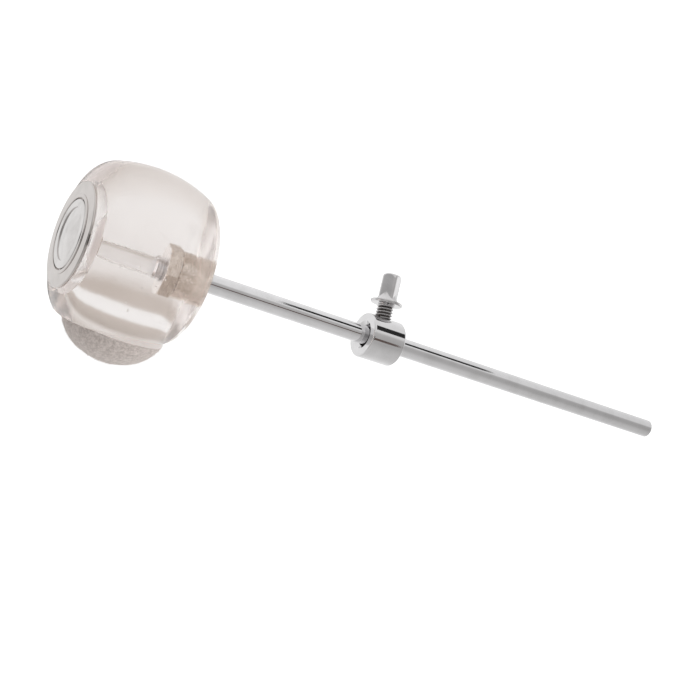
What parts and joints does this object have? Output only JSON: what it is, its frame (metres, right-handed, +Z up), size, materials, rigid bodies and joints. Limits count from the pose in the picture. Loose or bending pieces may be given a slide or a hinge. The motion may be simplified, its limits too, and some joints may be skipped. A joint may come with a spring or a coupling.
{
  "type": "bass drum beater",
  "caption": "Bass drum beater: clear barrel-shaped head with a felt striking nose and a chromed end cap, on a straight rod with a sliding lock collar and its key screw.",
  "frame": {"origin": "centre of the rod's free end, the end that goes into the pedal's hub", "axes": "+Z up the rod to the head, +X out of the head's felt striking side, +Y completes the frame"},
  "size_m": [0.0634, 0.0564, 0.2432],
  "materials": {
    "chromed_steel": "polished",
    "insert_brass": "satin",
    "nut_brass": "satin",
    "clear_plastic": "gloss",
    "felt": "matte",
    "cap_chrome": "polished",
    "medallion_chrome": "polished",
    "collar_chrome": "polished",
    "screw_chrome": "polished"
  },
  "bodies": {
    "beater": {"rod": "chromed_steel", "threaded_insert": "insert_brass", "lock_nut": "nut_brass", "head_body": "clear_plastic", "striking_pad": "felt", "end_cap": "cap_chrome", "cap_medallion": "medallion_chrome"},
    "collar": {"lock_collar": "collar_chrome"},
    "screw": {"key_screw": "screw_chrome"}
  },
  "joints": [
    {"name": "collar_slide", "type": "slide", "parent": "beater", "child": "collar", "axis": [0, 0, 1], "range_m": [-0.1202, 0.0677]},
    {"name": "screw_turn", "type": "hinge", "parent": "collar", "child": "screw", "pos_m": [0, 0, 0.1273], "axis": [-0.9511, -0.309, 0], "range_deg": [-270, 720]}
  ]
}
